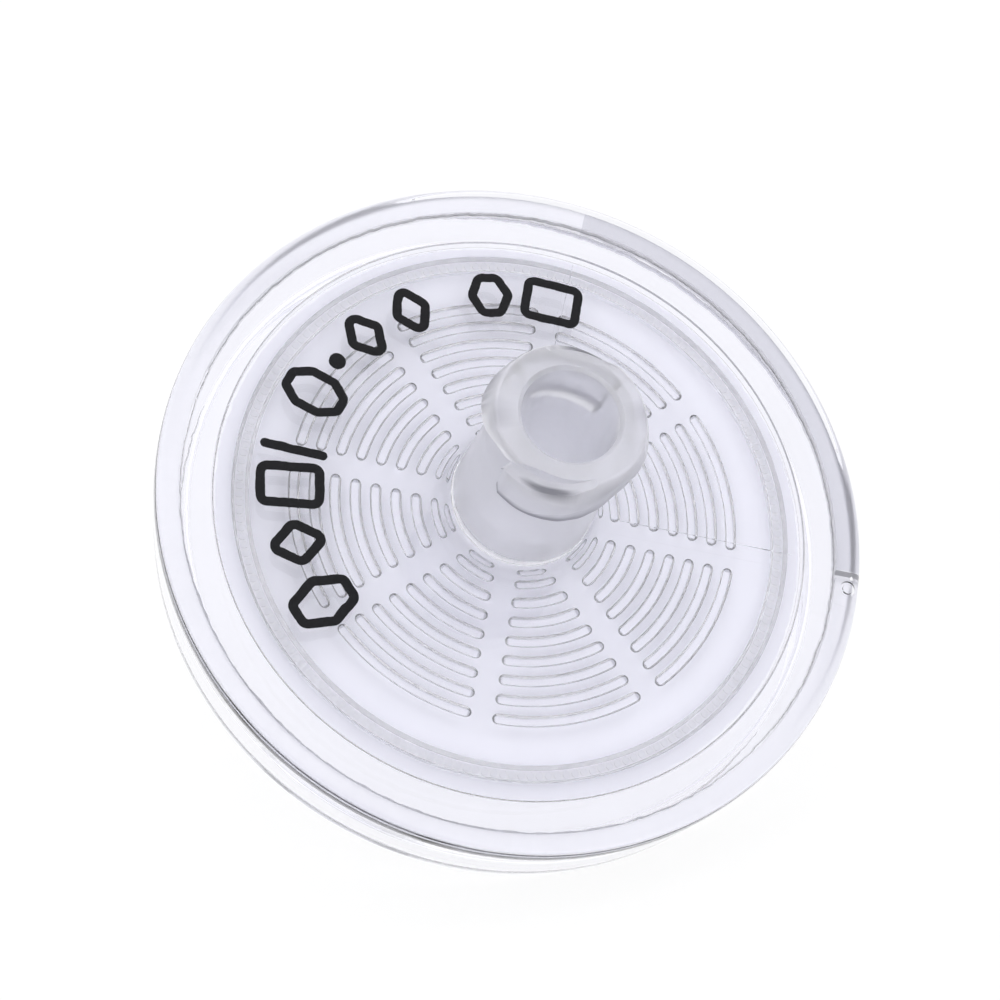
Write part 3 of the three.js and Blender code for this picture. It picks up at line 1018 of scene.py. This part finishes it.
    def painted_shade_depth(self, point: Vector) -> float:
        """Tells how deep the painted shade is at a point of the hub: along the thread's lower edge, on its crest, and
        in the lens.
        """
        out = point.xy.length - self.barrel
        if point.z < self.thread_foot - 0.5 or out < 0.05:
            return 0.0
        sweep = (math.degrees(math.atan2(point.y, point.x)) - self.thread_start) % 180
        at = self.station_at(min(sweep, THREAD_STATIONS[-1].sweep))
        # Past the run-out both factors can be negative, which leaves a faint painted grey on the hub's end.
        near_edge = min(1.0, 1 + (self.edge_full - abs(point.z - at.foot - 0.1)) / self.edge_fade)
        edge = near_edge * min(1.0, (self.edge_end[0] - sweep) / self.edge_end[1])
        rise = (sweep - self.crest_rise[0]) / self.crest_rise[1]
        crest = self.crest_shade * min(1.0, rise, (self.crest_fall[0] - sweep) / self.crest_fall[1])
        along, across = (sweep - self.lens_sweep[0]) / self.lens_sweep[1], (out - self.lens_out[0]) / self.lens_out[1]
        on_flank = at.crest_top - 0.05 < point.z < at.crest_top + self.thread_flank
        lens = self.lens_depth * (1 - along**2 - across**2) if on_flank else 0.0
        return max(edge, crest if out > 0.45 else 0.0, lens, 0.0)

    def paint_hub_shade(self, mesh: bpy.types.Mesh) -> None:
        """Stores the painted shade of every point of the half, which stands in for the dark lines that bent light draws
        in the thread.
        """
        depth = mesh.attributes.new(PAINTED_SHADE_ATTRIBUTE, "FLOAT", "POINT")
        depth.data.foreach_set("value", [min(1.0, self.painted_shade_depth(vertex.co)) for vertex in mesh.vertices])

    def region(self, middle: Vector, normal: Vector) -> Region:
        """Tells how a face of this half is finished."""
        s = self.sizes
        radius = middle.xy.length
        in_bore = radius < self.mouth and abs(normal.z) < WALL_SLOPE
        if in_bore or (middle.z > self.milky_from and radius < self.hub_foot + self.hub_fillet):
            return Region.HUB
        on_ribs = s.plate_bottom - self.rib_height < middle.z < s.plate_bottom
        # Rib walls take the grey frosted finish, whose grey is painted shade along the ribs.
        if on_ribs and abs(normal.z) < WALL_SLOPE and self.mouth < radius < s.pinch_inner - self.rib_margin + 1:
            return Region.RIB_WALL
        # The unwelded part of the plug's foot takes the grey finish, whose grey is painted shade.
        if middle.z < -s.flange_thickness - 0.01 and abs(radius - s.plug_radius) < 0.12:
            angle = math.degrees(math.atan2(middle.y, middle.x))
            return Region.RIB_WALL if s.unwelded[0] < angle < s.unwelded[1] else Region.WELD
        if middle.z < s.plate_bottom and s.pinch_inner < radius < s.pinch_outer:
            return Region.WELD
        return Region.POLISHED

    def build(
        self, ribs: ShapeTree, beads: ShapeTree, materials: Sequence[bpy.types.Material]
    ) -> bpy.types.Object:
        """Builds the whole half as one closed solid."""
        hub = combine(self.hub(), "UNION", [self.thread()])
        combine(hub, "DIFFERENCE", [self.end_trim()])
        body = combine(self.disc(), "UNION", [hub, self.ribs(ribs), self.bead_ring(beads)])
        combine(body, "DIFFERENCE", [self.bore(), self.gate_mark(), *self.knit_lines()])
        dress(body, materials, self.region)
        self.paint_hub_shade(body.data)
        place(body, "inlet_half", self.own_frame)
        return body


# ---------------------------------------------------------------- the lower half
@dataclass
class OutletHousing:
    """The lower half: wall, seat and drain field, with the skirt and the outlet nozzle beneath."""

    sizes: FilterSizes
    own_frame: FilterFrame
    wall_overhang: float = 0.2
    wall_draft: float = 0.16
    foot_round: float = 0.245
    recess_depth: float = 1.35
    skirt_width: float = 1.2
    drain_depth: float = 0.4
    support_margin: float = 1.1
    support_pitch: float = 1.6
    support_rings: int = 6
    support_width: float = 0.7
    support_tip_width: float = 0.6
    support_round: float = 0.12
    boss_radius: float = 3.59
    boss_fillet: float = 0.9
    boss_length: float = 2.8
    nozzle_tip_radius: float = 1.99
    tip_round: float = 0.125
    bore_radius: float = 1.15
    slot_angle: float = 334.15
    slot_width: float = 0.4
    slot_depth: float = 0.6
    mould_round: float = 0.05
    plate_lift: float = 0.004
    overlap: float = 0.1

    @property
    def wall_radius(self) -> float:
        """Outer radius of the wall at its top."""
        return self.sizes.rim_radius - self.wall_overhang

    @property
    def recess_level(self) -> float:
        """Height of the underside within the skirt."""
        return self.sizes.rim_foot + self.recess_depth

    def cup(self) -> bpy.types.Object:
        """Turns the floor, seat, wall and skirt."""
        s = self.sizes
        wall_top = -s.flange_thickness - s.weld_gap
        ledge = s.plug_bottom - s.weld_gap
        foot = self.wall_radius - self.wall_draft
        seat = s.plug_inner + 0.05
        outline = [
            Corner(0, self.recess_level),
            Corner(foot - self.skirt_width, self.recess_level, 0.3),
            Corner(foot - self.skirt_width, s.rim_foot, 0.1),
            Corner(foot, s.rim_foot, self.foot_round),
            Corner(self.wall_radius, wall_top, self.mould_round),
            Corner(s.plug_radius + s.wall_gap, wall_top),
            Corner(s.plug_radius + s.wall_gap, ledge),
            Corner(seat, ledge, self.mould_round),
            Corner(seat, s.seat_level, self.mould_round),
            Corner(s.pinch_inner, s.seat_level, self.mould_round),
            Corner(s.pinch_inner, s.seat_level - self.drain_depth, 0.1),
            Corner(0, s.seat_level - self.drain_depth),
        ]
        return lathe("outlet cup", outline, DISC_SIDES)

    def nozzle(self) -> bpy.types.Object:
        """Turns the Luer-slip nozzle with the boss at its root."""
        s = self.sizes
        boss_foot = self.recess_level - self.boss_length
        root = self.nozzle_tip_radius + s.luer_taper * (boss_foot - s.nozzle_tip)
        edge, under = self.boss_radius + self.boss_fillet + 0.2, self.recess_level - self.plate_lift
        outline = [
            Corner(0, s.nozzle_tip),
            Corner(self.nozzle_tip_radius, s.nozzle_tip, self.tip_round),
            Corner(root, boss_foot, 0.15),
            Corner(self.boss_radius, boss_foot, 0.2),
            Corner(self.boss_radius, under, self.boss_fillet),
            Corner(edge, under),
            Corner(edge, self.recess_level + self.overlap),
            Corner(0, self.recess_level + self.overlap),
        ]
        return lathe("outlet nozzle", outline, HUB_SIDES)

    def bore(self) -> bpy.types.Object:
        """Turns the outlet's bore, to be cut out."""
        s = self.sizes
        foot, top = s.nozzle_tip - self.overlap, s.seat_level - self.drain_depth + self.overlap
        outline = [
            Corner(0, foot),
            Corner(self.bore_radius, foot),
            Corner(self.bore_radius, top),
            Corner(0, top),
        ]
        return lathe("outlet bore", outline, HUB_SIDES)

    def slot(self) -> bpy.types.Object:
        """Makes the key slot across the wall's top, to be cut out."""
        s = self.sizes
        inner, outer = s.plug_radius + s.wall_gap - 0.02, self.wall_radius + 0.02
        half, top = self.slot_width / 2, -s.flange_thickness + 0.02
        vertices = [(x, y, z) for z in (top - self.slot_depth, top) for x in (inner, outer) for y in (-half, half)]
        faces = [(0, 1, 3, 2), (4, 5, 7, 6), (0, 1, 5, 4), (2, 3, 7, 6), (0, 2, 6, 4), (1, 3, 7, 5)]
        piece = solid_from("key slot", vertices, faces)
        piece.data.transform(Matrix.Rotation(math.radians(self.slot_angle), 4, "Z"))
        return piece

    def ribs(self, tree: ShapeTree) -> bpy.types.Object:
        """Runs the rib tree for the support ribs on the floor, which stand up instead of down."""
        s = self.sizes
        floor = s.seat_level - self.drain_depth
        piece = tree.run(
            "support ribs",
            {
                "Outer Radius": s.pinch_inner - self.support_margin,
                "Pitch": self.support_pitch,
                "Rings": self.support_rings,
                "Sectors": s.sectors,
                "First Channel": -math.radians(s.first_channel),
                "Channel Width": s.channel_width,
                "Width": self.support_width,
                "Tip Width": self.support_tip_width,
                "Height": self.drain_depth,
                "Rooted Depth": self.overlap,
                "Rounding": self.support_round,
                "Level": 0.0,
                "Points": 32,
                "End Points": 5,
            },
        )
        piece.data.transform(Matrix.Translation((0, 0, floor)) @ Matrix.Rotation(math.pi, 4, "X"))
        return piece

    def region(self, middle: Vector, normal: Vector) -> Region:
        """Tells how a face of this half is finished."""
        s = self.sizes
        floor = s.seat_level - self.drain_depth
        on_ribs = floor < middle.z < s.seat_level and middle.xy.length < s.pinch_inner - self.support_margin + 1
        if on_ribs and abs(normal.z) < WALL_SLOPE:
            return Region.RIB_WALL
        radius = middle.xy.length
        turn = math.radians(self.slot_angle)
        across = abs(middle.y * math.cos(turn) - middle.x * math.sin(turn))
        in_slot = across < self.slot_width / 2 + 0.01 and middle.x * math.cos(turn) > 0 and radius > s.plug_radius
        at_joint = abs(radius - s.plug_radius - s.wall_gap) < 0.02 and middle.z > s.plug_bottom - 0.1
        on_top = s.plug_bottom < middle.z and radius > s.plug_radius and normal.z > WALL_SLOPE
        angle = math.degrees(math.atan2(middle.y, middle.x))
        # The unwelded part of the joint takes the grey finish, whose grey is painted shade.
        if (at_joint or on_top) and s.unwelded[0] < angle < s.unwelded[1]:
            return Region.RIB_WALL
        if at_joint or on_top or (in_slot and middle.z > -s.flange_thickness - self.slot_depth - 0.01):
            return Region.WELD
        return Region.POLISHED

    def build(self, ribs: ShapeTree, materials: Sequence[bpy.types.Material]) -> bpy.types.Object:
        """Builds the whole half as one closed solid."""
        body = combine(self.cup(), "UNION", [self.nozzle(), self.ribs(ribs)])
        combine(body, "DIFFERENCE", [self.bore(), self.slot()])
        dress(body, materials, self.region)
        place(body, "outlet_half", self.own_frame)
        return body


# ---------------------------------------------------------------- the membrane
@dataclass
class Membrane:
    """The filter membrane, pinched flat at its edge."""

    sizes: FilterSizes
    own_frame: FilterFrame

    def build(self, material: bpy.types.Material) -> bpy.types.Object:
        """Builds the membrane as a thin closed disc."""
        s = self.sizes
        top, bottom = s.membrane_top, s.membrane_top - s.membrane_thickness
        outline = [
            Corner(0, bottom),
            Corner(s.membrane_radius, bottom, ragged=0.08),
            Corner(s.membrane_radius, top, 0.03, ragged=0.08),
            Corner(0, top),
        ]
        piece = lathe("membrane sheet", outline, DISC_SIDES)
        piece.data.materials.append(material)
        place(piece, "filter_membrane", self.own_frame)
        return piece


# ---------------------------------------------------------------- the printed marks
class Outline(Enum):
    """The plain outlines of the printed marks: how many corners, and whether one of them points down."""

    DIAMOND = (4, True)
    RECTANGLE = (4, False)
    HEXAGON = (6, False)
    OCTAGON = (8, False)
    LINE = (2, False)


@dataclass(frozen=True)
class Mark:
    """A printed mark: its outline, its size over all, and the width of its stroke, in millimetres."""

    outline: Outline
    width: float
    height: float
    stroke: float = 0.44

    def path(self) -> bpy.types.Mesh:
        """Draws the middle line of the stroke as a mesh of edges, about the mark's own middle."""
        corners, pointed = self.outline.value
        mesh = bpy.data.meshes.new("stroke path")
        if self.outline is Outline.LINE:
            half = self.height / 2
            mesh.from_pydata([(0, -half, 0), (0, half, 0)], [(0, 1)], [])
            return mesh
        first = -math.pi / 2 + (0 if pointed else math.pi / corners)
        turns = [first + 2 * math.pi * i / corners for i in range(corners)]
        points = [Vector((math.cos(turn), math.sin(turn), 0)) for turn in turns]
        inset = self.stroke * (math.sqrt(2) if pointed else 1)
        wide = (self.width - inset) / 2 / max(abs(point.x) for point in points)
        tall = (self.height - inset) / 2 / max(abs(point.y) for point in points)
        edges = [(i, (i + 1) % corners) for i in range(corners)]
        mesh.from_pydata([(point.x * wide, point.y * tall, 0) for point in points], edges, [])
        return mesh


MARKS = (
    Mark(Outline.HEXAGON, 2.5, 3.1),
    Mark(Outline.DIAMOND, 2.5, 3.1),
    Mark(Outline.RECTANGLE, 2.2, 3.1),
    Mark(Outline.LINE, 0.44, 3.1),
    Mark(Outline.OCTAGON, 2.2, 3.1),
    Mark(Outline.LINE, 0.8, 0.8, 0.8),
    Mark(Outline.DIAMOND, 2.2, 3.1),
    Mark(Outline.DIAMOND, 2.2, 3.1),
    Mark(Outline.HEXAGON, 2.2, 2.3),
    Mark(Outline.RECTANGLE, 2.9, 2.3),
)


@dataclass
class Printing:
    """The row of plain marks printed along the disc's edge."""

    own_frame: FilterFrame
    film: float = 0.045
    lift: float = 0.03
    rounding: float = 0.3
    spacing: float = 0.05
    waver: float = 0.12

    def build(self, material: bpy.types.Material) -> dict[str, bpy.types.Object]:
        """Builds every mark where the CAD model has it.

        Args:
            material: The ink.

        Returns:
            The mark that stands for each CAD node.
        """
        tree = stroke_tree()
        pieces: dict[str, bpy.types.Object] = {}
        for number, mark in enumerate(MARKS, start=1):
            node = f"ink_mark_{number:02d}"
            low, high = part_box(node)
            middle = self.own_frame.own((low + high) / 2)
            piece = tree.run(
                f"printed mark {number}",
                {
                    "Stroke": mark.stroke,
                    "Film": self.film,
                    "Rounding": self.rounding,
                    "Spacing": self.spacing,
                    "Waver": self.waver,
                    "Seed": float(number),
                    "Level": self.lift,
                    "Material": material,
                },
                mark.path(),
            )
            foot_to_hub = Matrix.Rotation(math.atan2(middle.y, middle.x) - math.pi / 2, 4, "Z")
            piece.data.transform(Matrix.Translation((middle.x, middle.y, 0)) @ foot_to_hub)
            face_outwards(piece.data)
            place(piece, f"printed_mark_{number:02d}", self.own_frame)
            pieces[node] = piece
        return pieces


# ---------------------------------------------------------------- floor, light and camera
@dataclass
class Studio:
    """A pale floor, soft light from all round, and the camera."""

    own_frame: FilterFrame
    off_axis: float = 27.353  # degrees between the camera's axis and the flow axis
    azimuth: float = 224.13
    distance: float = 109.37  # from the camera to the disc's middle, along the camera's axis
    right_of_axis: float = 0.926  # the disc's middle in the view
    below_axis: float = 0.044
    lens: float = 86.67
    shade: float = 0.15  # how much of the floor's white is lit, and so can be shaded
    light_level: float = 1.22
    floor_reach: float = 3.0  # metres

    def camera(self) -> None:
        """Makes the camera, level, and looking at the disc from above its inlet."""
        back = self.own_frame.direction(self.off_axis, self.azimuth)
        right = Vector((0, 0, 1)).cross(back).normalized()
        up = back.cross(right)
        place_at = self.own_frame.origin + MM * (
            back * self.distance - right * self.right_of_axis + up * self.below_axis
        )
        data = bpy.data.cameras.new("camera")
        data.lens = self.lens
        data.sensor_width = 36.0
        data.clip_start = 0.005
        data.clip_end = 10.0
        camera = bpy.data.objects.new("camera", data)
        turn = Matrix((right, up, back)).transposed().to_4x4()
        camera.matrix_world = Matrix.Translation(place_at) @ turn
        bpy.context.scene.collection.objects.link(camera)
        bpy.context.scene.camera = camera

    def floor(self) -> None:
        """Makes the floor that the filter lies on."""
        mesh = bpy.data.meshes.new("floor")
        corners = ((-1, -1), (1, -1), (1, 1), (-1, 1))
        mesh.from_pydata([(x * self.floor_reach, y * self.floor_reach, 0) for x, y in corners], [], [(0, 1, 2, 3)])
        floor = new_object("floor", mesh)
        material, node = new_material("white_paper_floor")
        path = node("ShaderNodeLightPath").outputs
        through = node(MATHS, path["Is Glossy Ray"], path["Is Transmission Ray"], operation="MAXIMUM")
        seen = node(MATHS, path["Is Camera Ray"], through, operation="MAXIMUM")
        paper = node("ShaderNodeBsdfDiffuse", {"Color": linear("#ECECEE")})
        shaded = node("ShaderNodeBsdfDiffuse", {"Color": (self.shade, self.shade, self.shade, 1)})
        glow = node("ShaderNodeEmission", {"Strength": 1 - self.shade})
        white = node("ShaderNodeAddShader", shaded, glow)
        node("ShaderNodeOutputMaterial", {"Surface": node("ShaderNodeMixShader", seen, paper, white)})
        mesh.materials.append(material)

    def world(self) -> None:
        """Lights the filter evenly from all round; the camera sees the world as plain white."""
        world = bpy.data.worlds.new("studio")
        world.use_nodes = True
        world.node_tree.nodes.clear()
        node = partial(add_node, world.node_tree)
        seen = node("ShaderNodeLightPath").outputs["Is Camera Ray"]
        strength = node("ShaderNodeMix", {0: seen, 2: self.light_level, 3: 1.0}, data_type="FLOAT")
        background = node("ShaderNodeBackground", {"Color": (1, 1, 1, 1), "Strength": strength})
        node("ShaderNodeOutputWorld", {"Surface": background})
        world.cycles.sampling_method = "NONE"  # an even world needs no map of its bright places
        bpy.context.scene.world = world

    def build(self) -> None:
        """Builds the stage."""
        bpy.context.scene.view_settings.view_transform = "Standard"
        bpy.context.scene.cycles.blur_glossy = 0.0  # the blur would darken what lies under clear plastic
        self.world()
        self.floor()
        self.camera()


# ---------------------------------------------------------------- the whole
def main() -> None:
    """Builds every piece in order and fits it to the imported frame."""
    logging.basicConfig(level=logging.INFO, format="%(message)s")
    low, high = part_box("inlet_housing")
    sizes = FilterSizes(rim_radius=(high.x - low.x) / 2 / MM)
    own_frame = FilterFrame.from_record(frame["record"], sizes.hub_height)
    Studio(own_frame).build()

    ribs = rib_tree()
    clear = [finish.build() for finish in CLEAR_FINISHES]
    upper = InletHousing(sizes, own_frame).build(ribs, bead_tree(), clear)
    lower = OutletHousing(sizes, own_frame).build(ribs, clear)
    sheet = Membrane(sizes, own_frame).build(MEMBRANE_FILM.build())
    marks = Printing(own_frame).build(PRINTING_INK.build())
    for piece, node, slot in (
        (upper, "inlet_housing", "clear_plastic_inlet"),
        (lower, "outlet_housing", "clear_plastic_outlet"),
        (sheet, "membrane", "filter_membrane"),
        *((mark, node, "printing_ink") for node, mark in marks.items()),
    ):
        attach(piece, "root")
        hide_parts(node)
        LOG.info("%s: %d faces", piece.name, len(piece.data.polygons))


if __name__ == "__main__":
    main()
